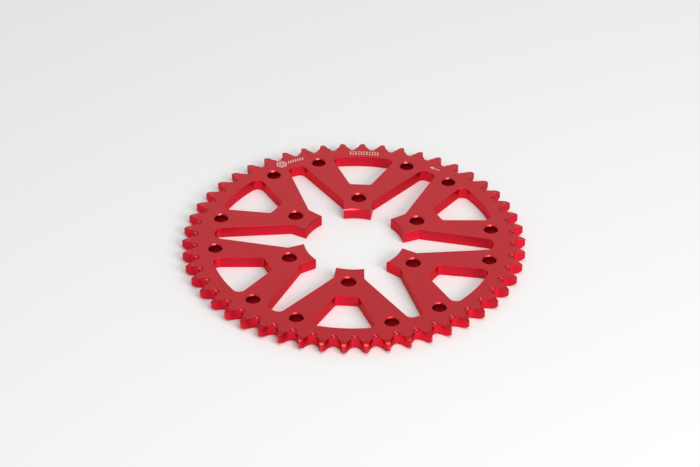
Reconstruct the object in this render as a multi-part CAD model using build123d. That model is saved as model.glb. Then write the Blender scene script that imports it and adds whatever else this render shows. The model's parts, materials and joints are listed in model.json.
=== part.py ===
from build123d import *
import math
import os

# Rear sprocket for a motorcycle chain, cut from one aluminium plate. All sizes are in millimetres.
# The origin is on the axis, at the face that seats on the wheel hub, and +Z points away from the wheel.
# One of the arms points along +Y.

# ---- plate ----
plate_thickness = 7.3
arm_count = 6

# ---- chain and teeth ----
chain_pitch = 12.7
roller_diameter = 8.51
tooth_count = 50
tooth_clocking = 0.9           # degrees, from the arm on +Y round to the next tooth's tip
tip_shortening = 0.4           # off the tip circle that the pitch gives
outer_side_relief = 1.3        # how far the outer side of a tooth falls back at its tip
hub_side_relief = 2.2          # and the side towards the hub
tooth_side_radius = 10.0       # of both rounded sides
smallest_tip_width = 0.5

# ---- mud scallops, cut with a ball-nosed cutter into both edges of every tooth root ----
scallop_ball_radius = 4.0
scallop_depth = 0.9

# ---- hub interface ----
pilot_bore = 61.0
pilot_chamfer = 0.55
hub_bolt_circle = 86.2
hub_bolt_hole = 8.5
hub_hole_chamfer = 0.65

# ---- arms: a short neck at the pilot bore, which forks into two straight legs out to the rim ----
fork_to_bolt = 3.3             # from the fork out to the hub bolt's centre, along the arm
fork_half_width = 9.2
fork_corner_radius = 1.5
neck_splay = 4.5               # degrees between the neck's side and the arm's centre line
rim_gap_width = 10.1           # between two arms' legs, where they meet the rim

# ---- rim ----
rim_width_at_gap = 12.1        # from the tooth roots in to the gaps between the arms
rim_width_at_window = 9.2      # from the tooth roots in to the windows
gap_corner_radius = 4.0

# ---- windows, one between the two legs of each arm ----
bolt_to_window = 14.25         # from the hub bolt's centre to the window's straight inner side
window_inner_width = 13.2      # of that inner side
window_rim_width = 40.4        # where the window meets the rim
window_inner_radius = 2.4
window_outer_radius = 4.3

# ---- lightening holes, one at the rim end of every leg ----
rim_hole = 8.0
rim_hole_chamfer = 0.6
rim_hole_inset = 12.6          # from the tooth roots in to the hole's centre
rim_hole_to_leg_edge = 10.15   # from the leg's outer edge to the hole's centre

# ---- worked out from the sizes above ----
tooth_angle = 360 / tooth_count
arm_angle = 360 / arm_count
pitch_radius = chain_pitch / (2 * math.sin(math.radians(tooth_angle / 2)))
root_radius = pitch_radius - roller_diameter / 2
full_tip_radius = chain_pitch * (0.6 + 1 / math.tan(math.radians(tooth_angle / 2))) / 2 - tip_shortening
pilot_radius = pilot_bore / 2
bolt_circle_radius = hub_bolt_circle / 2
gap_outer_radius = root_radius - rim_width_at_gap
window_outer_arc = root_radius - rim_width_at_window
rim_hole_radius = root_radius - rim_hole_inset

# The tooth form: a seat for the roller, with a convex flank on each side of it.
# The seat and the flank meet on the line from the seat's centre to the flank's centre.
seat_radius = 0.505 * roller_diameter
seat_half_angle = math.radians(140 - 90 / tooth_count) / 2
flank_radius = 0.12 * roller_diameter * (tooth_count + 2)
seat_centre = Vector(root_radius + seat_radius, 0)
seat_to_flank = Vector(-math.cos(seat_half_angle), math.sin(seat_half_angle))
flank_centre = seat_centre + seat_to_flank * (seat_radius + flank_radius)


def direction(degrees):
    """The unit vector at this angle from +X."""
    return Vector(math.cos(math.radians(degrees)), math.sin(math.radians(degrees)))


def mirrored(points):
    """The same points on the other side of the X axis."""
    return [Vector(point.X, -point.Y) for point in points]


def turned(points, degrees):
    """The same points, turned about the sprocket's axis."""
    return [point.rotate(Axis.Z, degrees) for point in points]


def meets_circle(point, heading, radius):
    """Where a line from a point, along this unit vector, meets a circle about the axis."""
    along = point.dot(heading)
    reach = math.sqrt(along**2 + radius**2 - point.dot(point)) - along
    return point + heading * reach


def flank_at(radius):
    """The point of the flank at this radius from the axis."""
    distance = flank_centre.length
    along = (distance**2 + radius**2 - flank_radius**2) / (2 * distance)
    across = math.sqrt(radius**2 - along**2)
    outward = flank_centre.normalized()
    return outward * along + Vector(outward.Y, -outward.X) * across


def tip_width_at(radius):
    """How wide a tooth is when it ends at this radius."""
    flank = flank_at(radius)
    return 2 * (flank.X * math.sin(math.radians(tooth_angle / 2)) - flank.Y * math.cos(math.radians(tooth_angle / 2)))


# A tooth ends at its full radius, or sooner if its flanks would leave it too thin there.
tip_radius = full_tip_radius
while tip_width_at(tip_radius) < smallest_tip_width:
    tip_radius -= 0.05


# One leg of an arm that lies along +X: its outer edge runs straight from the fork to the rim.
fork = Vector(bolt_circle_radius - fork_to_bolt, fork_half_width)
half_gap_angle = math.degrees(math.asin(rim_gap_width / 2 / gap_outer_radius))
leg_rim_corner = direction(arm_angle / 2 - half_gap_angle) * gap_outer_radius
leg_edge = (leg_rim_corner - fork).normalized()
into_leg = Vector(leg_edge.Y, -leg_edge.X)


def tooth_outline():
    """The outline of all the teeth. The first tooth space is on +X."""
    seat_end = seat_centre + seat_to_flank * seat_radius
    tip = flank_at(tip_radius)
    flank_middle = flank_at((seat_end.length + tip.length) / 2)
    upper_flank = [seat_end, flank_middle, tip]
    lower_flank = mirrored(upper_flank)
    seat = [lower_flank[0], Vector(root_radius, 0), seat_end]
    tip_land = [tip, direction(tooth_angle / 2) * tip_radius, *turned(lower_flank[2:], tooth_angle)]
    edges = []
    for tooth in range(tooth_count):
        for arc in (lower_flank, seat, upper_flank, tip_land):
            edges.append(ThreePointArc(*turned(arc, tooth * tooth_angle)))
    return make_face(edges)


def gap_outline():
    """The space between two arms, about +X. It runs into the pilot bore."""
    into_bore = pilot_radius / 4
    inner = fork - direction(neck_splay) * (fork.X - pilot_radius + into_bore)
    lower = turned([inner, fork, leg_rim_corner], -arm_angle / 2)
    upper = mirrored(lower)
    sides = Polyline(lower[2], lower[1], lower[0], upper[0], upper[1], upper[2])
    rim_arc = ThreePointArc(upper[2], Vector(gap_outer_radius, 0), lower[2])
    gap = make_face([*sides.edges(), rim_arc])
    gap = fillet(gap.vertices().sort_by(Axis.X)[-2:], gap_corner_radius)
    forks = [gap.vertices().sort_by_distance(side[1])[0] for side in (lower, upper)]
    return fillet(forks, fork_corner_radius)


def window_outline():
    """The window between the legs of an arm that lies along +X."""
    inner = Vector(bolt_circle_radius + bolt_to_window, window_inner_width / 2)
    outer = Vector(math.sqrt(window_outer_arc**2 - (window_rim_width / 2)**2), window_rim_width / 2)
    below = mirrored([inner, outer])
    sides = Polyline(outer, inner, below[0], below[1])
    rim_arc = ThreePointArc(below[1], Vector(window_outer_arc, 0), outer)
    window = make_face([*sides.edges(), rim_arc])
    window = fillet(window.vertices().sort_by(Axis.X)[-2:], window_outer_radius)
    return fillet(window.vertices().sort_by(Axis.X)[:2], window_inner_radius)


def chamfered_drill(diameter, chamfer_size):
    """What a drill takes out of the plate, with a chamfer at both of the hole's mouths."""
    radius = diameter / 2
    wide = radius + 2 * chamfer_size
    drill = Pos(Z=plate_thickness / 2) * Cylinder(radius, 2 * plate_thickness)
    outer_mouth = Pos(Z=plate_thickness) * Cone(radius, wide, 2 * chamfer_size)
    hub_mouth = Cone(wide, radius, 2 * chamfer_size)
    return drill + outer_mouth + hub_mouth


def turned_blank():
    """The disc before its teeth are cut. Its rim is rounded back on both faces."""
    past_tip = 1.0
    rim = tip_radius + past_tip

    def rounded_side(relief):
        """Where a rounded side starts, its middle and its end, each as a radius and a depth below the face."""
        start = tip_radius - math.sqrt(relief * (2 * tooth_side_radius - relief))
        return [(radius, tooth_side_radius - math.sqrt(tooth_side_radius**2 - (radius - start)**2))
                for radius in (start, (start + rim) / 2, rim)]

    hub_side = rounded_side(hub_side_relief)
    outer_side = [(radius, plate_thickness - depth) for radius, depth in reversed(rounded_side(outer_side_relief))]
    edges = [
        Line((0, 0), hub_side[0]),
        ThreePointArc(*hub_side),
        Line(hub_side[2], outer_side[0]),
        ThreePointArc(*outer_side),
        Line(outer_side[2], (0, plate_thickness)),
        Line((0, plate_thickness), (0, 0)),
    ]
    return revolve(Plane.XZ * make_face(edges), Axis.Z)


def scallops():
    """The balls that cut the mud scallops, on both faces at every tooth root."""
    lift = scallop_ball_radius - scallop_depth
    balls = []
    for tooth in range(tooth_count):
        for height in (plate_thickness + lift, -lift):
            place = Rot(Z=tooth * tooth_angle) * Pos(root_radius, 0, height)
            balls.append(place * Sphere(scallop_ball_radius))
    return balls


def on_every_arm(shape):
    """Copies of a shape that lies on +X, one for each arm."""
    return [Rot(Z=90 + arm * arm_angle) * shape for arm in range(arm_count)]


# The toothed disc, turned so that a tooth's tip is the clocking angle past the arm on +Y.
toothed_disc = extrude(tooth_outline(), plate_thickness) & turned_blank()
toothed_disc = toothed_disc - scallops()
tip_on_y = (90 + tooth_clocking - tooth_angle / 2) % tooth_angle
toothed_disc = Rot(Z=tip_on_y) * toothed_disc

# Everything that is cut out of the disc.
gap = Rot(Z=arm_angle / 2) * extrude(gap_outline(), plate_thickness)
window = extrude(window_outline(), plate_thickness)
bolt_hole = Pos(X=bolt_circle_radius) * chamfered_drill(hub_bolt_hole, hub_hole_chamfer)
hole_line = fork + into_leg * rim_hole_to_leg_edge
rim_hole_centres = [meets_circle(hole_line, leg_edge, rim_hole_radius)]
rim_hole_centres += mirrored(rim_hole_centres)
cuts = [chamfered_drill(pilot_bore, pilot_chamfer)]
for cut in (gap, window, bolt_hole):
    cuts += on_every_arm(cut)
for centre in rim_hole_centres:
    cuts += on_every_arm(Pos(centre) * chamfered_drill(rim_hole, rim_hole_chamfer))

sprocket_plate = toothed_disc - cuts
sprocket_plate.label = "sprocket_plate"

os.makedirs("parts", exist_ok=True)
export_step(sprocket_plate, "parts/sprocket_plate.step")

print("pitch radius", round(pitch_radius, 3), "root radius", round(root_radius, 3))
print("tip radius", round(tip_radius, 3), "tip width", round(tip_width_at(tip_radius), 3))
print("rim hole circle", round(2 * rim_hole_radius, 3), "volume", round(sprocket_plate.volume, 1))
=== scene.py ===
# %% [markdown]
# # A rear sprocket, cut in Blender the way a machine shop cuts it
# The real object is one flat plate of aluminium. A shop turns a disc, mills the tooth spaces round its rim,
# cuts the windows out of it, drills it, breaks the sharp edges, dyes it red and marks it with a laser.
# This lesson follows the same order, because a cut from the right tool leaves the right surface.
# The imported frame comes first. It fixes the sizes and the place of everything that follows.

# %% Load the frame
import json
import math

import bpy
from mathutils import Matrix, Vector


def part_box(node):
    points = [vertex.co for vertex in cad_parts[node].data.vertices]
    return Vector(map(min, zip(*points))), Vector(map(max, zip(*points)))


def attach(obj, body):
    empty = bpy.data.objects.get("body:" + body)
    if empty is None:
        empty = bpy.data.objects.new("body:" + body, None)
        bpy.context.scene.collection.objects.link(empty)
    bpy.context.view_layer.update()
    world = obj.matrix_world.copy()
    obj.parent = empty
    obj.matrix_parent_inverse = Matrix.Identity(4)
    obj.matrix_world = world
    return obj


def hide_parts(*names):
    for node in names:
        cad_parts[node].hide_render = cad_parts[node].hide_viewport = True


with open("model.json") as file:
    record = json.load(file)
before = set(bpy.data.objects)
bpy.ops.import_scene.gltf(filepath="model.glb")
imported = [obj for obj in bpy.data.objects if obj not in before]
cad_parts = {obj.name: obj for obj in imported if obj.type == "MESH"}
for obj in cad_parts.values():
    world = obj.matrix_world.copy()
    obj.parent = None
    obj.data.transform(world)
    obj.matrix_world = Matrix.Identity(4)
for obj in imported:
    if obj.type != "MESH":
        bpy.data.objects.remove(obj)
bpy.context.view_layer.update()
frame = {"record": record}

# %% [markdown]
# ## Sizes
# The sizes are in millimetres, as on a workshop drawing, and the finished pieces are scaled to metres at
# the end. Millimetres also suit the edit-mode operators, which treat very short edges as mistakes.
# What the frame knows is read from it: the thickness from the plate's box, and the bolt circle, the bolt
# holes and the pilot bore from the record's mounts. The rest are the drawing's own driving sizes.

# %% Read the plate's sizes
MM = 0.001
mounts = {mount["name"]: mount for mount in frame["record"]["mounts"]}
plate_low, plate_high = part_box("sprocket_plate")

plate_thickness = (plate_high.z - plate_low.z) / MM
bolt_circle_radius = mounts["hub_bolts"]["dims"]["pcd_mm"] / 2
bolt_hole_radius = mounts["hub_bolts"]["dims"]["hole_r_mm"]
pilot_radius = mounts["pilot_bore"]["dims"]["r_mm"]

arm_count = 6
tooth_count = 50
chain_pitch = 12.7
roller_diameter = 8.51
arm_angle = 360 / arm_count
tooth_angle = 360 / tooth_count
print(f"plate {plate_thickness:.2f} thick, bore radius {pilot_radius}")
print(f"hub bolts at radius {bolt_circle_radius}")

# %% [markdown]
# ## Drawing outlines by hand
# Everything here is cut by tools that run straight through the plate, so each tool starts as a flat
# outline. In Blender an outline can be typed in as a list of points, drawn as a curve, or drawn in edit
# mode: start from one vertex, extrude it along a straight stretch, and spin it round a centre for an arc.
# The last way is used, because every arc stays a true arc about its own centre, with as many steps as
# the view needs. A stroke is a point for a straight line, or a centre and a point for an arc.

# %% Pens for straight lines and arcs
DOWN_THE_AXIS = (0, 0, -1)       # spin turns anticlockwise about this, seen from above
flatness = 0.002                 # how far the flat steps of an arc may stray from the true arc
weld_distance = 0.001            # vertices closer than this are joined into one


def point(x, y, z=0.0):
    return Vector((x, y, z))


def heading(degrees):
    """The unit vector at this angle from +X."""
    return point(math.cos(math.radians(degrees)), math.sin(math.radians(degrees)))


def nothing_selected():
    bpy.ops.object.select_all(action="DESELECT")


def select_only(thing):
    nothing_selected()
    thing.select_set(True)
    bpy.context.view_layer.objects.active = thing


def first_vertex(name, place):
    """A new object in edit mode that is one vertex at this place, with its origin at the world's."""
    nothing_selected()
    bpy.ops.mesh.primitive_plane_add(size=1)
    made = bpy.context.object
    made.name = name
    bpy.ops.object.mode_set(mode="EDIT")
    bpy.ops.mesh.select_mode(type="VERT")
    bpy.ops.mesh.merge(type="CENTER")
    bpy.ops.transform.translate(value=place)
    return made


def line_to(here, there):
    bpy.ops.mesh.extrude_region_move(TRANSFORM_OT_translate={"value": there - here})


def arc_to(here, centre, there):
    """Spins the selected vertex round the centre until it is at the other point."""
    sweep = (here - centre).xy.angle_signed((there - centre).xy)
    longest_step = 2 * math.acos(1 - flatness / (here - centre).length)
    steps = math.ceil(abs(sweep) / longest_step)
    bpy.ops.mesh.spin(steps=steps, angle=-sweep, center=centre, axis=DOWN_THE_AXIS)


def draw(name, start, strokes):
    """Draws a closed outline, fills it, and leaves it in edit mode with its face selected."""
    made = first_vertex(name, start)
    here = start
    for stroke in strokes:
        if isinstance(stroke, Vector):
            line_to(here, stroke)
            here = stroke
        else:
            arc_to(here, *stroke)
            here = stroke[1]
    bpy.ops.mesh.select_all(action="SELECT")
    bpy.ops.mesh.remove_doubles(threshold=weld_distance)
    bpy.ops.mesh.edge_face_add()
    return made


def raise_to(made, low, high):
    """Extrudes the selected outline from one height to another and closes the solid."""
    bpy.ops.transform.translate(value=(0, 0, low))
    bpy.ops.mesh.extrude_region_move(TRANSFORM_OT_translate={"value": (0, 0, high - low)})
    bpy.ops.mesh.select_all(action="SELECT")
    bpy.ops.mesh.normals_make_consistent(inside=False)
    bpy.ops.object.mode_set(mode="OBJECT")
    return made


print(f"an arc is drawn in flat steps that stray {flatness} mm from it at most")

# %% [markdown]
# ## Repeating and cutting
# What repeats on the real part is cut by one tool that is indexed round the axis. So one tool is modelled
# and turned copies of it are joined, each with its own mesh. A Boolean modifier then takes them out of
# the plate. Of its solvers, the manifold one is quick and always leaves a closed solid, as long as both
# shapes are closed. It also hands on the tool's material when it is asked to.

# %% Index a tool round the axis and cut with it
def turned_copies(tool, degrees):
    """Replaces a tool by copies of it, turned by each of these angles and joined."""
    copies = []
    for angle in degrees:
        copy = bpy.data.objects.new(tool.name, tool.data.copy())
        copy.data.transform(Matrix.Rotation(math.radians(angle), 4, "Z"))
        bpy.context.collection.objects.link(copy)
        copies.append(copy)
    bpy.data.objects.remove(tool)
    nothing_selected()
    for copy in copies:
        copy.select_set(True)
    bpy.context.view_layer.objects.active = copies[0]
    if len(copies) > 1:
        bpy.ops.object.join()
    return copies[0]


def cut(plate, tool):
    """Takes the tool's shape out of the plate, and the tool out of the scene."""
    select_only(plate)
    modifier = plate.modifiers.new("cut", "BOOLEAN")
    modifier.operation = "DIFFERENCE"
    modifier.solver = "MANIFOLD"
    modifier.object = tool
    modifier.material_mode = "TRANSFER"
    bpy.ops.object.modifier_apply(modifier=modifier.name)
    bpy.data.objects.remove(tool)
    print(f"{plate.name} now has {len(plate.data.polygons)} faces")


every_arm = [90 + arm * arm_angle for arm in range(arm_count)]
print("the arms lie at", every_arm, "degrees")

# %% [markdown]
# ## The turned blank
# The chain has to find its way onto the teeth, so both sides of every tooth are rounded back towards
# the tip. On the real part that is turned on the blank before any tooth is cut, and so it is here: half
# of the disc's section is drawn and spun round the axis, which gives a ring with rounded shoulders.
# Only a ring is needed, because the middle is bored out later. The outside radius is the one that the
# chain standard gives for this pitch and number of teeth, a little shortened.

# %% Spin the blank
outer_side_relief = 1.3          # how far the outer side of a tooth falls back at its tip
hub_side_relief = 2.2            # and the side towards the hub
tooth_side_radius = 10.0         # of both rounded sides
tip_shortening = 0.4             # off the outside radius that the standard gives
pitch_radius = chain_pitch / (2 * math.sin(math.radians(tooth_angle / 2)))
root_radius = pitch_radius - roller_diameter / 2
tip_radius = chain_pitch * (0.6 + 1 / math.tan(math.radians(tooth_angle / 2))) / 2 - tip_shortening
bore_allowance = 4.0             # left inside the bore, to be cut away later
ring_inner_radius = pilot_radius - bore_allowance
steps_round_a_side = 12
steps_round_the_blank = 600


def side_reach(relief):
    """How far in from the tip a rounded side starts."""
    return math.sqrt(relief * (2 * tooth_side_radius - relief))


def round_the_side(face_height, relief, up):
    """Spins the section from a flat face out to the tip, or back to the face where up is -1."""
    reach = side_reach(relief)
    centre = point(tip_radius - reach, 0, face_height + up * tooth_side_radius)
    bpy.ops.mesh.spin(steps=steps_round_a_side, angle=math.asin(reach / tooth_side_radius),
                      center=centre, axis=(0, 1, 0))
    return centre.x


def spin_blank():
    inner_edge, tip = point(ring_inner_radius, 0), point(tip_radius, 0)
    inner_edge_above = inner_edge + point(0, 0, plate_thickness)
    blank = first_vertex("sprocket_body", inner_edge)
    line_to(inner_edge, point(tip_radius - side_reach(hub_side_relief), 0))
    round_the_side(0, hub_side_relief, 1)
    line_to(tip + point(0, 0, hub_side_relief), tip + point(0, 0, plate_thickness - outer_side_relief))
    outer_start = round_the_side(plate_thickness, outer_side_relief, -1)
    line_to(point(outer_start, 0, plate_thickness), inner_edge_above)
    line_to(inner_edge_above, inner_edge)
    bpy.ops.mesh.select_all(action="SELECT")
    bpy.ops.mesh.remove_doubles(threshold=weld_distance)
    bpy.ops.mesh.select_all(action="SELECT")
    bpy.ops.mesh.spin(steps=steps_round_the_blank, angle=2 * math.pi, center=(0, 0, 0), axis=(0, 0, 1))
    bpy.ops.mesh.select_all(action="SELECT")
    bpy.ops.mesh.remove_doubles(threshold=weld_distance)
    bpy.ops.mesh.normals_make_consistent(inside=False)
    bpy.ops.object.mode_set(mode="OBJECT")
    return blank


sprocket = spin_blank()
print("blank", [round(size, 2) for size in sprocket.dimensions], len(sprocket.data.polygons), "faces")

# %% [markdown]
# ## Finishes
# Every cut leaves its own surface, and the dye shows all of them through, so each tool carries the finish
# that it leaves. The Boolean modifier hands a tool's material on to the faces that the tool makes, which
# saves picking faces afterwards. The materials are only named here. Their nodes come later, when there
# is a shape to look at.

# %% Name the finishes
finishes = {name: bpy.data.materials.new(name) for name in
            ("blasted_face", "turned_shoulder", "milled_wall", "drilled_wall", "countersunk_mouth",
             "scalloped_root", "broken_edge", "laser_bleached")}


def finish_with(made, *names):
    """Gives a mesh these finishes as its material slots. Its faces start with the first one."""
    for name in names:
        made.data.materials.append(finishes[name])


def finish_faces(made, slot_number, wanted):
    """Gives the faces for which wanted(face) is true the finish in that slot."""
    for face in made.data.polygons:
        if wanted(face):
            face.material_index = slot_number


def is_flat(face):
    return abs(face.normal.z) > 0.9999


def is_upright(face):
    return abs(face.normal.z) < 0.001


finish_with(sprocket, *finishes)
finish_faces(sprocket, list(finishes).index("turned_shoulder"), lambda face: not is_flat(face))
print("finishes:", ", ".join(finishes))

# %% [markdown]
# ## Tooth spaces
# A roller chain's tooth space is a round seat, a little larger than the roller, with a gently rounded
# flank on each side. The seat and each flank meet on the line through their centres, so there is no
# corner between them. The chain standard gives both radii and the seat's angle as formulas, which place
# the centres, and the pen draws three arcs. The tool stops just past the tips, before it would run into
# the next one.

# %% Mill the tooth spaces
seat_radius = 0.505 * roller_diameter
seat_half_angle = (140 - 90 / tooth_count) / 2
flank_radius = 0.12 * roller_diameter * (tooth_count + 2)
tooth_clocking = 0.9             # degrees from +Y round to the nearest tooth's tip
past_tip = 0.3                   # how far this tool runs past the teeth
past_face = 1.0                  # how far every tool runs past both faces

seat_centre = point(root_radius + seat_radius, 0)
seat_to_flank = heading(180 - seat_half_angle)
seat_end = seat_centre + seat_to_flank * seat_radius
flank_centre = seat_centre + seat_to_flank * (seat_radius + flank_radius)
every_root = [90 + tooth_clocking + (tooth + 0.5) * tooth_angle for tooth in range(tooth_count)]


def other_side(place):
    """The same place on the other side of the X axis."""
    return point(place.x, -place.y)


def flank_at(radius):
    """The point of the flank at this radius from the axis."""
    distance = flank_centre.length
    along = (distance**2 + radius**2 - flank_radius**2) / (2 * distance)
    outward = flank_centre / distance
    return outward * along + point(outward.y, -outward.x) * math.sqrt(radius**2 - along**2)


def tooth_space_tool():
    outside = flank_at(tip_radius + past_tip)
    tool = draw("tooth_space", other_side(outside), [
        (other_side(flank_centre), other_side(seat_end)),
        (seat_centre, seat_end),
        (flank_centre, outside),
        other_side(outside),
    ])
    finish_with(tool, "milled_wall")
    return raise_to(tool, -past_face, plate_thickness + past_face)


cut(sprocket, turned_copies(tooth_space_tool(), every_root))

# %% [markdown]
# ## Mud scallops
# On both faces, the edge of every tooth root is dished with a ball-nosed cutter, so that mud squeezes
# out from under the chain. Only the cutter's nose goes in, so the tool is a short arc spun into a
# shallow ball end with a cone above it.

# %% Dish the tooth roots
scallop_ball_radius = 4.0
scallop_depth = 0.9
nose_angle = 45
nose_steps = 9
round_the_nose = 48


def ball_nose(side):
    """The nose that cuts the outer face where side is 1, and the hub face where side is -1."""
    face_height = plate_thickness if side > 0 else 0
    nose = point(root_radius, 0, face_height - side * scallop_depth)
    centre = nose + point(0, 0, side * scallop_ball_radius)
    tool = first_vertex("ball_nose", nose)
    bpy.ops.mesh.spin(steps=nose_steps, angle=side * math.radians(nose_angle),
                      center=centre, axis=(0, 1, 0))
    bpy.ops.mesh.extrude_region_move(TRANSFORM_OT_translate={"value": (past_face, 0, side * past_face)})
    bpy.ops.mesh.extrude_region_move(TRANSFORM_OT_translate={"value": (0, 0, side * past_face)})
    bpy.ops.mesh.select_all(action="SELECT")
    bpy.ops.mesh.spin(steps=round_the_nose, angle=2 * math.pi, center=centre, axis=(0, 0, 1))
    bpy.ops.mesh.select_all(action="SELECT")
    bpy.ops.mesh.remove_doubles(threshold=weld_distance)
    bpy.ops.mesh.select_all(action="DESELECT")
    bpy.ops.mesh.select_non_manifold()
    bpy.ops.mesh.edge_face_add()
    bpy.ops.mesh.select_all(action="SELECT")
    bpy.ops.mesh.normals_make_consistent(inside=False)
    bpy.ops.object.mode_set(mode="OBJECT")
    finish_with(tool, "scalloped_root")
    return tool


for side in (1, -1):
    cut(sprocket, turned_copies(ball_nose(side), every_root))

# %% [markdown]
# ## Arms and the spaces between them
# Six arms carry the toothed rim. Each starts as a short neck at the pilot bore and forks into two
# straight legs. A shop mills away what lies between them: six gaps that open into the bore, and six
# closed windows, one inside each fork. Both outlines are straight sides with rounded corners, closed by
# an arc about the axis. The corner arcs need their centres. A rounding that touches a straight side lies
# its own radius away from it, and one that also touches the rim's arc lies that much inside the arc.

# %% Where the corners are rounded
fork_to_bolt = 3.3               # from the fork out to the hub bolt's centre, along the arm
fork_half_width = 9.2
fork_corner_radius = 1.5
neck_splay = 4.5                 # degrees between the neck's side and the arm's centre line
rim_gap_width = 10.1             # between two arms' legs, where they meet the rim
rim_width_at_gap = 12.1          # from the tooth roots in to the gap
gap_corner_radius = 4.0
gap_outer_radius = root_radius - rim_width_at_gap
axis = point(0, 0)


def meets_circle(start, along, radius):
    """Where a line from a point, along this unit vector, meets a circle about the axis."""
    ahead = start.dot(along)
    return start + along * (math.sqrt(ahead**2 + radius**2 - start.dot(start)) - ahead)


def turned(place, degrees):
    return Matrix.Rotation(math.radians(degrees), 3, "Z") @ place


fork = point(bolt_circle_radius - fork_to_bolt, fork_half_width)
half_gap_angle = math.degrees(math.asin(rim_gap_width / 2 / gap_outer_radius))
leg_rim_corner = heading(arm_angle / 2 - half_gap_angle) * gap_outer_radius
leg_edge = (leg_rim_corner - fork).normalized()
into_leg = point(leg_edge.y, -leg_edge.x)
print(f"a leg leaves the fork at {math.degrees(math.atan2(leg_edge.y, leg_edge.x)):.1f} degrees")

# %% Mill the gaps between the arms
def gap_tool():
    """The gap above an arm that lies along +X, turned back until it lies along +X itself."""
    neck = heading(neck_splay)
    inner = fork - neck * (fork.x - ring_inner_radius + past_face)
    corner_reach = fork_corner_radius * math.tan(neck.angle(leg_edge) / 2)
    neck_end = fork - neck * corner_reach
    leg_start = fork + leg_edge * corner_reach
    fork_centre = neck_end + heading(neck_splay + 90) * fork_corner_radius
    rim_centre = meets_circle(fork - into_leg * gap_corner_radius, leg_edge,
                              gap_outer_radius - gap_corner_radius)
    leg_end = rim_centre + into_leg * gap_corner_radius
    arc_start = rim_centre.normalized() * gap_outer_radius
    inner, neck_end, fork_centre, leg_start, leg_end, rim_centre, arc_start = (
        turned(place, -arm_angle / 2)
        for place in (inner, neck_end, fork_centre, leg_start, leg_end, rim_centre, arc_start))
    tool = draw("arm_gap", inner, [
        neck_end,
        (fork_centre, leg_start),
        leg_end,
        (rim_centre, arc_start),
        (axis, other_side(arc_start)),
        (other_side(rim_centre), other_side(leg_end)),
        other_side(leg_start),
        (other_side(fork_centre), other_side(neck_end)),
        other_side(inner),
        inner,
    ])
    finish_with(tool, "milled_wall")
    return raise_to(tool, -past_face, plate_thickness + past_face)


every_gap = [angle + arm_angle / 2 for angle in every_arm]
cut(sprocket, turned_copies(gap_tool(), every_gap))

# %% Mill the windows
bolt_to_window = 14.25           # from the hub bolt's centre to the window's straight inner side
window_inner_width = 13.2        # of that inner side
window_rim_width = 40.4          # where the window meets the rim
rim_width_at_window = 9.2        # from the tooth roots in to the window
window_inner_radius = 2.4        # of the corners at the inner side
window_outer_radius = 4.3        # and of those at the rim
window_inner_side = bolt_circle_radius + bolt_to_window
window_outer_arc = root_radius - rim_width_at_window


def window_tool():
    inner = point(window_inner_side, window_inner_width / 2)
    outer = point(math.sqrt(window_outer_arc**2 - (window_rim_width / 2)**2), window_rim_width / 2)
    slant = (outer - inner).normalized()
    into_window = point(slant.y, -slant.x)
    on_offset = inner + into_window * window_inner_radius
    inner_centre = on_offset + slant * ((window_inner_side + window_inner_radius - on_offset.x) / slant.x)
    outer_centre = meets_circle(inner + into_window * window_outer_radius, slant,
                                window_outer_arc - window_outer_radius)
    inner_side_end = inner_centre - point(window_inner_radius, 0)
    slant_start = inner_centre - into_window * window_inner_radius
    slant_end = outer_centre - into_window * window_outer_radius
    arc_end = outer_centre.normalized() * window_outer_arc
    tool = draw("arm_window", inner_side_end, [
        other_side(inner_side_end),
        (other_side(inner_centre), other_side(slant_start)),
        other_side(slant_end),
        (other_side(outer_centre), other_side(arc_end)),
        (axis, arc_end),
        (outer_centre, slant_end),
        slant_start,
        (inner_centre, inner_side_end),
    ])
    finish_with(tool, "milled_wall")
    return raise_to(tool, -past_face, plate_thickness + past_face)


cut(sprocket, turned_copies(window_tool(), every_arm))

# %% [markdown]
# ## Bore and bolt holes
# The bore is milled, the hub bolt holes and the lightening holes in the legs are drilled, and all have a
# chamfer at both mouths. The tool's section is drawn once as a line: straight along the wall of the hole
# and flaring outwards at each face. Spun about its own axis, it becomes the tool. The walls and the
# mouths get different finishes, because a countersink leaves a brighter surface than a drill, and the
# bore's wall gets the finish of the gaps and windows.

# %% Drill and chamfer
pilot_chamfer = 0.55
hub_hole_chamfer = 0.65
rim_hole_chamfer = 0.6
rim_hole_radius = 4.0
rim_hole_inset = 12.6            # from the tooth roots in to the hole's centre
rim_hole_to_leg_edge = 10.15     # from the leg's outer edge to the hole's centre


def chamfered_drill(centre, radius, chamfer, wall_finish="drilled_wall"):
    flare = radius + chamfer + past_face
    first, last = -past_face, plate_thickness + past_face
    section = [point(radius, 0, chamfer), point(radius, 0, plate_thickness - chamfer),
               point(flare, 0, last), point(0, 0, last)]
    here = point(0, 0, first)
    tool = first_vertex("drill", here)
    for there in [point(flare, 0, first), *section]:
        line_to(here, there)
        here = there
    bpy.ops.mesh.select_all(action="SELECT")
    steps = math.ceil(math.pi / math.acos(1 - flatness / radius))
    bpy.ops.mesh.spin(steps=steps, angle=2 * math.pi, center=axis, axis=DOWN_THE_AXIS)
    bpy.ops.mesh.select_all(action="SELECT")
    bpy.ops.mesh.remove_doubles(threshold=weld_distance)
    bpy.ops.transform.translate(value=centre)
    bpy.ops.mesh.normals_make_consistent(inside=False)
    bpy.ops.object.mode_set(mode="OBJECT")
    finish_with(tool, wall_finish, "countersunk_mouth")
    finish_faces(tool, 1, lambda face: not is_upright(face))
    return tool


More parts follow.
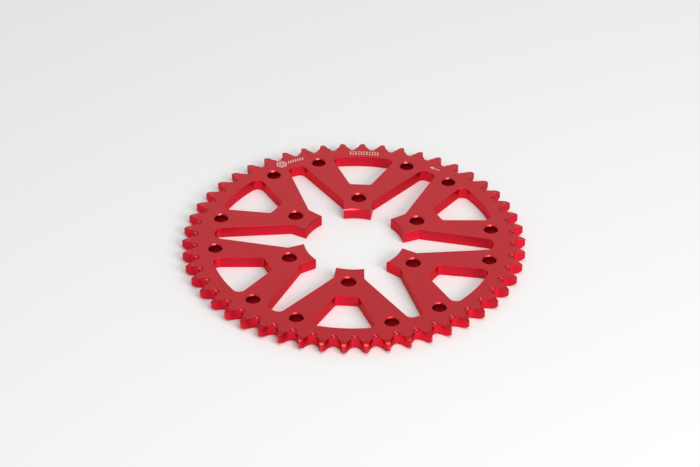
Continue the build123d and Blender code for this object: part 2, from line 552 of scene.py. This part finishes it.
rim_hole_circle = root_radius - rim_hole_inset
rim_hole_centre = meets_circle(fork + into_leg * rim_hole_to_leg_edge, leg_edge, rim_hole_circle)
cut(sprocket, chamfered_drill(axis, pilot_radius, pilot_chamfer, "milled_wall"))
hub_drill = chamfered_drill(point(bolt_circle_radius, 0), bolt_hole_radius, hub_hole_chamfer)
cut(sprocket, turned_copies(hub_drill, every_arm))
for centre in (rim_hole_centre, other_side(rim_hole_centre)):
    cut(sprocket, turned_copies(chamfered_drill(centre, rim_hole_radius, rim_hole_chamfer), every_arm))

# %% [markdown]
# ## Clean faces and broken edges
# The blank's flat faces are still divided like a cake, and every cut crossed some of the slices. A
# limited dissolve joins what lies in one plane. Then the sharp rims of the gaps and windows are broken
# with a narrow bevel, as a deburring tool does on the real plate. Without it they would catch no light.

# %% Join the flat faces and break the edges
edge_break = 0.05
seen_as_one_plane = math.radians(0.02)
clear_of_the_teeth = 1.0         # how far inside the tooth roots an edge has to lie to be broken


def select_faces(made, wanted):
    """Leaves the mesh in edit mode with just these faces selected."""
    select_only(made)
    bpy.ops.object.mode_set(mode="EDIT")
    bpy.ops.mesh.select_mode(type="FACE")
    bpy.ops.mesh.select_all(action="DESELECT")
    bpy.ops.object.mode_set(mode="OBJECT")
    for face in made.data.polygons:
        face.select = wanted(face)
    bpy.ops.object.mode_set(mode="EDIT")


def select_sharp_rims(made):
    """Selects the edges inside the toothed rim where a flat face meets an upright wall."""
    beside_flat = {key for face in made.data.polygons if is_flat(face) for key in face.edge_keys}
    beside_wall = {key for face in made.data.polygons if is_upright(face) for key in face.edge_keys}
    rims = {key for key in beside_flat & beside_wall
            if made.data.vertices[key[0]].co.xy.length < root_radius - clear_of_the_teeth}
    bpy.ops.object.mode_set(mode="EDIT")
    bpy.ops.mesh.select_mode(type="EDGE")
    bpy.ops.mesh.select_all(action="DESELECT")
    bpy.ops.object.mode_set(mode="OBJECT")
    for edge in made.data.edges:
        edge.select = edge.key in rims
    bpy.ops.object.mode_set(mode="EDIT")
    return len(rims)


select_faces(sprocket, is_flat)
bpy.ops.mesh.dissolve_limited(angle_limit=seen_as_one_plane)
bpy.ops.object.mode_set(mode="OBJECT")
print("after the dissolve:", len(sprocket.data.polygons), "faces")
print("edges to break:", select_sharp_rims(sprocket))
bpy.ops.mesh.bevel(offset=edge_break, segments=1, affect="EDGES", clamp_overlap=False,
                   material=list(finishes).index("broken_edge"))
bpy.ops.object.mode_set(mode="OBJECT")

# %% [markdown]
# ## Marks on the rim
# Such a plate carries laser marks on its outer face, where the beam has bleached the dye. Here they say
# nothing: a nut of two hexagons, a row of slanted bars, a row of bars and dashes, and an arrow. They
# could be thin pieces laid on the face, but a laser takes a little off rather than adding any. So they
# are cut a few hundredths deep, and the cut floor gets the bleached finish.

# %% Shapes of the marks
mark_depth = 0.03
hexagon_line = 0.845
arrow_line = 0.65


def raise_mark(made):
    """Turns a flat outline in edit mode into a tool that only scratches the outer face."""
    bpy.ops.mesh.select_all(action="SELECT")
    finish_with(made, "laser_bleached")
    return raise_to(made, plate_thickness - mark_depth, plate_thickness + past_face)


def bar(width, height, middle, slant=0.0):
    """A bar across the rim. Its width runs round the rim, its height along the radius."""
    half, lean = point(height / 2, 0), point(0, slant)
    corners = [middle + half * end + point(0, width / 2 * side) - lean * end
               for end, side in ((-1, -1), (1, -1), (1, 1), (-1, 1))]
    return raise_mark(draw("mark_bar", corners[0], corners[1:] + corners[:1]))


def hexagon(middle, radius):
    nothing_selected()
    bpy.ops.mesh.primitive_circle_add(vertices=6, radius=radius, fill_type="NGON", location=middle)
    made = bpy.context.object
    bpy.ops.object.transform_apply(location=True)
    bpy.ops.object.mode_set(mode="EDIT")
    bpy.ops.mesh.inset(thickness=hexagon_line)
    bpy.ops.mesh.delete(type="FACE")
    return raise_mark(made)


def arrow(middle, length, head):
    tail, neck, tip = -length / 2, length / 2 - head, length / 2
    outline = [(arrow_line / 2, tail), (arrow_line / 2, neck), (head / 2, neck), (0, tip),
               (-head / 2, neck), (-arrow_line / 2, neck), (-arrow_line / 2, tail)]
    corners = [middle + point(across, along) for across, along in outline]
    return raise_mark(draw("mark_arrow", corners[0], corners[1:] + corners[:1]))


def evenly(first, last, count):
    return [first + (last - first) * number / (count - 1) for number in range(count)]


print(f"the marks are {mark_depth} mm deep")

# %% Laser the marks
outside_rim_middle = 0.6         # how far outside the middle of the rim the marks are centred
mark_circle = (gap_outer_radius + root_radius) / 2 + outside_rim_middle
arrow_circle = mark_circle - 1.2     # the arrow sits a little further in
middle = point(mark_circle, 0)
nut_at = [124.0]                 # degrees from +X, as for all the marks
slanted_bars_at = evenly(120.9, 114.9, 7)
code_at = evenly(95.3, 84.5, 11)
arrow_at = [59.6]

for radius in (3.6, 1.9):
    cut(sprocket, turned_copies(hexagon(middle, radius), nut_at))
slanted_bar = bar(width=0.8, height=2.6, middle=middle, slant=0.5)
cut(sprocket, turned_copies(slanted_bar, slanted_bars_at))
long_bar = bar(width=0.75, height=3.6, middle=middle + point(0.5, 0))
cut(sprocket, turned_copies(long_bar, code_at[::2]))
for outwards in (-0.75, 1.75):
    dash = bar(width=1.2, height=1.1, middle=middle + point(outwards, 0))
    cut(sprocket, turned_copies(dash, code_at[1::2]))
cut(sprocket, turned_copies(arrow(point(arrow_circle, 0), length=7.5, head=2.8), arrow_at))
print("marks on a circle of radius", round(mark_circle, 2))

# %% [markdown]
# ## From the drawing to the real size
# The plate is finished in millimetres, and the scene is in metres. The size is scaled about the origin
# and applied, so that the object itself sits unscaled at the origin. The flat faces are kept out of the
# smoothing, or they would pick up a shade from the rounded rim beside them.

# %% Smooth it, scale it and hand it to the frame
crease = math.radians(24)
select_faces(sprocket, is_flat)
bpy.ops.mesh.region_to_loop()
bpy.ops.mesh.mark_sharp()
bpy.ops.object.mode_set(mode="OBJECT")
select_only(sprocket)
bpy.ops.object.shade_smooth_by_angle(angle=crease, keep_sharp_edges=True)
bpy.ops.transform.resize(value=(MM, MM, MM), center_override=(0, 0, 0))
bpy.ops.transform.translate(value=(0, 0, plate_low.z))
bpy.ops.object.transform_apply(location=True, rotation=True, scale=True)
sprocket.name = sprocket.data.name = "red_sprocket_plate"
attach(sprocket, "root")
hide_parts("sprocket_plate")
print("plate", [round(size / MM, 2) for size in sprocket.dimensions], "mm")
print(len(sprocket.data.polygons), "faces")

# %% [markdown]
# ## Red dye on bright metal
# Anodising grows a clear, glassy skin on the aluminium, and the dye sits inside it. Light that gets
# through comes back off the metal as deep red, and the skin itself adds a thin white gloss. A metallic
# shader with a red base and a coat over it does both. What differs from cut to cut is mostly the texture
# under the dye, so one class mixes the dye and each finish adds its own marks. The drilled holes' walls
# also get a much darker red, which is painted shade for the inside of the holes.

# %% A dyed metal
dye_red = (0.72, 0.004, 0.018)
wall_red = (0.76, 0.009, 0.036)
# painted shade: this much darker red on the drilled holes' walls stands in for the shade inside the holes
painted_hole_shade_red = (0.40, 0.001, 0.012)
glancing_red = (0.60, 0.32, 0.32)
clear_skin_ior = 1.5


class Dyed:
    """The nodes of one finish. Lengths are in metres on the plate."""

    def __init__(self, name, colour=dye_red, roughness=0.3, skin=0.5, skin_roughness=0.15):
        material = finishes[name]
        material.use_nodes = True
        self.nodes, self.links = material.node_tree.nodes, material.node_tree.links
        self.shader = self.nodes["Principled BSDF"]
        self.shader.inputs["Metallic"].default_value = 1.0
        self.shader.inputs["Base Color"].default_value = (*colour, 1)
        self.shader.inputs["Roughness"].default_value = roughness
        self.shader.inputs["Specular Tint"].default_value = (*glancing_red, 1)
        self.shader.inputs["Coat Weight"].default_value = skin
        self.shader.inputs["Coat Roughness"].default_value = skin_roughness
        self.shader.inputs["Coat IOR"].default_value = clear_skin_ior
        self.place = self.nodes.new("ShaderNodeTexCoord").outputs["Object"]

    def node(self, kind, **settings):
        made = self.nodes.new("ShaderNode" + kind)
        for setting, value in settings.items():
            setattr(made, setting, value)
        return made

    def noise(self, size, stretch=(1, 1, 1), detail=2.0, place=None):
        """Random blotches about this size. Where stretch is 0, they run on for ever that way."""
        mapping = self.node("Mapping")
        mapping.inputs["Scale"].default_value = stretch
        self.links.new(place or self.place, mapping.inputs["Vector"])
        texture = self.node("TexNoise")
        texture.inputs["Scale"].default_value = 1 / size
        texture.inputs["Detail"].default_value = detail
        self.links.new(mapping.outputs["Vector"], texture.inputs["Vector"])
        return texture.outputs["Fac"]

    def radius(self):
        """The distance from the axis, along X, so that noise on it makes rings."""
        flat = self.node("VectorMath", operation="MULTIPLY")
        flat.inputs[1].default_value = (1, 1, 0)
        self.links.new(self.place, flat.inputs[0])
        length = self.node("VectorMath", operation="LENGTH")
        self.links.new(flat.outputs["Vector"], length.inputs[0])
        joined = self.node("CombineXYZ")
        self.links.new(length.outputs["Value"], joined.inputs["X"])
        return joined.outputs["Vector"]

    def spread(self, value, low, high, edges=(0.3, 0.7)):
        """Maps the middle of a noise to this range."""
        ranged = self.node("MapRange")
        ranged.inputs["From Min"].default_value, ranged.inputs["From Max"].default_value = edges
        ranged.inputs["To Min"].default_value = low
        ranged.inputs["To Max"].default_value = high
        self.links.new(value, ranged.inputs["Value"])
        return ranged.outputs["Result"]

    def blend_colours(self, factor, first, second):
        mix = self.node("Mix", data_type="RGBA")
        mix.inputs["A"].default_value = (*first, 1)
        mix.inputs["B"].default_value = (*second, 1)
        self.links.new(factor, mix.inputs["Factor"])
        self.links.new(mix.outputs["Result"], self.shader.inputs["Base Color"])

    def roughen(self, value):
        self.links.new(value, self.shader.inputs["Roughness"])

    def raise_by(self, *heights):
        """Adds up (noise, depth in metres) pairs into one bump."""
        normal = None
        for value, depth in heights:
            bump = self.node("Bump")
            bump.inputs["Strength"].default_value = 1.0
            bump.inputs["Distance"].default_value = depth
            self.links.new(value, bump.inputs["Height"])
            if normal:
                self.links.new(normal, bump.inputs["Normal"])
            normal = bump.outputs["Normal"]
        self.links.new(normal, self.shader.inputs["Normal"])


print("the dye reflects", dye_red, "of red, green and blue")

# %% [markdown]
# ## Broad faces and milled walls
# The broad faces were blasted with fine beads before they were dyed: an even satin with a faint
# cloudiness. On the walls, the side of the milling cutter left fine lines that run along the wall. They
# spread a reflection up and down but hardly sideways, so a corner shows a tall bright streak. Lines that
# fine would turn to grain if they were modelled or bumped. The shader's anisotropy does the same without
# them, with its tangent pointing up, across the lines, and a noise that changes only with height makes
# the gloss vary from line to line. The cutter's faint upright steps come from a noise that never changes
# with height.

# %% Mix the faces and walls
face = Dyed("blasted_face", roughness=0.34, skin=0.85, skin_roughness=0.3)
clouds = face.noise(0.012, detail=4)
face.blend_colours(face.spread(clouds, 0, 1), dye_red, tuple(part * 0.93 for part in dye_red))
face.roughen(face.spread(face.noise(0.004, detail=3), 0.32, 0.37))
face.raise_by((face.noise(0.00035), 0.0000012), (face.noise(0.006), 0.000004))

wall = Dyed("milled_wall", colour=wall_red, roughness=0.35, skin=0.25, skin_roughness=0.25)
wall.shader.inputs["Anisotropic"].default_value = 0.8
upwards = wall.node("CombineXYZ")
upwards.inputs["Z"].default_value = 1
wall.links.new(upwards.outputs["Vector"], wall.shader.inputs["Tangent"])
cutter_steps = wall.noise(0.0015, stretch=(1, 1, 0), detail=3)
wall.blend_colours(wall.spread(cutter_steps, 0, 1), wall_red, tuple(part * 0.95 for part in wall_red))
wall.roughen(wall.spread(wall.noise(0.0004, stretch=(0, 0, 1)), 0.32, 0.38))
wall.raise_by((cutter_steps, 0.000002))
print("the walls reflect", wall_red)

# %% [markdown]
# ## What the drill, the lathe and the ball nose leave
# A drill leaves a spiral on the wall of its hole. Little light gets into a hole, so its wall gets a much
# darker red, which is painted shade rather than a darker dye. The shoulders of the teeth were turned and
# carry fine rings. Countersunk mouths, dished roots and broken edges were cut with sharp tools and have
# more skin gloss than the walls. Where the laser has been, the dye is gone and pale bare oxide shows.

# %% Mix the other finishes
# the drilled walls' base colour is the darker red, which is painted shade for the inside of the holes
drilled = Dyed("drilled_wall", colour=painted_hole_shade_red, roughness=0.3, skin=0.1, skin_roughness=0.2)
spiral = drilled.noise(0.0006, stretch=(0.3, 0.3, 1))
drilled.roughen(drilled.spread(spiral, 0.26, 0.36))
drilled.raise_by((spiral, 0.000006))

shoulder = Dyed("turned_shoulder", roughness=0.24, skin=1.0, skin_roughness=0.2)
rings = shoulder.noise(0.0003, stretch=(1, 0, 0), place=shoulder.radius())
shoulder.roughen(shoulder.spread(rings, 0.22, 0.3))
shoulder.raise_by((rings, 0.000003))

mouth = Dyed("countersunk_mouth", roughness=0.24, skin=1.0, skin_roughness=0.2)
chatter = mouth.noise(0.0008, stretch=(1, 1, 0.2))
mouth.roughen(mouth.spread(chatter, 0.22, 0.3))
mouth.raise_by((chatter, 0.000004))

dish = Dyed("scalloped_root", roughness=0.2, skin=1.0, skin_roughness=0.08)
cutter_marks = dish.noise(0.0005, detail=1)
dish.roughen(dish.spread(cutter_marks, 0.17, 0.25))
dish.raise_by((cutter_marks, 0.000002))

edge = Dyed("broken_edge", roughness=0.4, skin=0.5, skin_roughness=0.3)
nicks = edge.noise(0.0015, detail=3)
edge.roughen(edge.spread(nicks, 0.35, 0.45))
edge.raise_by((nicks, 0.000004))

bleached_oxide = (0.80, 0.50, 0.47)
laser = Dyed("laser_bleached", colour=bleached_oxide, roughness=0.5, skin=0.0)
laser.shader.inputs["Metallic"].default_value = 0.35
speckle = laser.noise(0.0004)
darker_oxide = tuple(part * 0.9 for part in bleached_oxide)
laser.blend_colours(laser.spread(speckle, 0, 1), bleached_oxide, darker_oxide)
laser.raise_by((speckle, 0.000003))
print("mixed", len(finishes), "finishes")

# %% [markdown]
# ## A pale studio
# The plate lies on a white sweep. Flat, glossy metal looks like whatever it mirrors, so the light is
# placed for its reflections. A wide soft box low behind the plate gives the faces their sheen. A small
# one straight above catches the rounded sides of the near teeth, and one above and in front the
# chamfers. Both show in the dished roots. A wide one at the right puts the tall streaks on the rounded
# corners of the walls, which otherwise mirror the white floor.

# %% Floor, air and soft boxes
floor_size = 8.0
below_the_plate = 0.00002        # so that floor and plate don't share a plane
nothing_selected()
bpy.ops.mesh.primitive_plane_add(size=floor_size, location=(0, 0, plate_low.z - below_the_plate))
floor = bpy.context.object
floor.name = "studio_floor"
paper = bpy.data.materials.new("white_sweep")
paper.use_nodes = True
paper_shader = paper.node_tree.nodes["Principled BSDF"]
paper_shader.inputs["Base Color"].default_value = (0.80, 0.80, 0.796, 1)
paper_shader.inputs["Roughness"].default_value = 0.9
paper_shader.inputs["Specular IOR Level"].default_value = 0.1
floor.data.materials.append(paper)

world = bpy.data.worlds.new("studio_air")
bpy.context.scene.world = world
world.use_nodes = True
air = world.node_tree.nodes["Background"]
air.inputs["Color"].default_value = (1.0, 1.0, 1.0, 1)
air.inputs["Strength"].default_value = 0.44

camera_azimuth = 4.2             # degrees from -Y round towards +X
camera_elevation = 36.3


def soft_box(name, azimuth, elevation, distance, size, watts):
    """A rectangular light that faces the plate. Azimuth 0 is where the camera stands."""
    lamp = bpy.data.lights.new(name, "AREA")
    lamp.shape = "RECTANGLE"
    lamp.size, lamp.size_y = size
    lamp.energy = watts
    placed = bpy.data.objects.new(name, lamp)
    bpy.context.collection.objects.link(placed)
    placed.matrix_world = (Matrix.Rotation(math.radians(camera_azimuth + azimuth), 4, "Z")
                           @ Matrix.Rotation(math.radians(90 - elevation), 4, "X")
                           @ Matrix.Translation((0, 0, distance)))
    print(name, "of", size, "m at", [round(value, 2) for value in placed.matrix_world.translation])


soft_box("back_soft_box", 172, 32, 2.2, (2.6, 0.8), 2.7)
soft_box("overhead_soft_box", -170, 84, 1.9, (0.75, 0.4), 4)
soft_box("front_overhead", 25, 58, 1.9, (1.1, 0.4), 12)
soft_box("right_soft_box", 40, 30, 2.4, (1.6, 0.8), 35)

# %% [markdown]
# ## The camera
# A long lens from a metre and a half away keeps the plate's circle from flaring towards the viewer. The
# camera is turned into place by its azimuth, its elevation and a trace of roll, and stands back along
# its own axis from the point it looks at, a few millimetres beyond the axis at the outer face's level.

# %% Camera
camera_roll = -0.09
camera_distance = 1.5437
looks_at = Matrix.Rotation(math.radians(camera_azimuth), 3, "Z") @ point(-0.00228, 0.00527, plate_high.z)
lens = bpy.data.cameras.new("view")
lens.sensor_width = 36
lens.lens = 130.25
camera = bpy.data.objects.new("view", lens)
bpy.context.collection.objects.link(camera)
camera.matrix_world = (Matrix.Translation(looks_at)
                       @ Matrix.Rotation(math.radians(camera_azimuth), 4, "Z")
                       @ Matrix.Rotation(math.radians(90 - camera_elevation), 4, "X")
                       @ Matrix.Rotation(math.radians(camera_roll), 4, "Z")
                       @ Matrix.Translation((0, 0, camera_distance)))
bpy.context.scene.camera = camera
bpy.context.scene.view_settings.view_transform = "Standard"
print("camera at", [round(value, 3) for value in camera.matrix_world.translation])
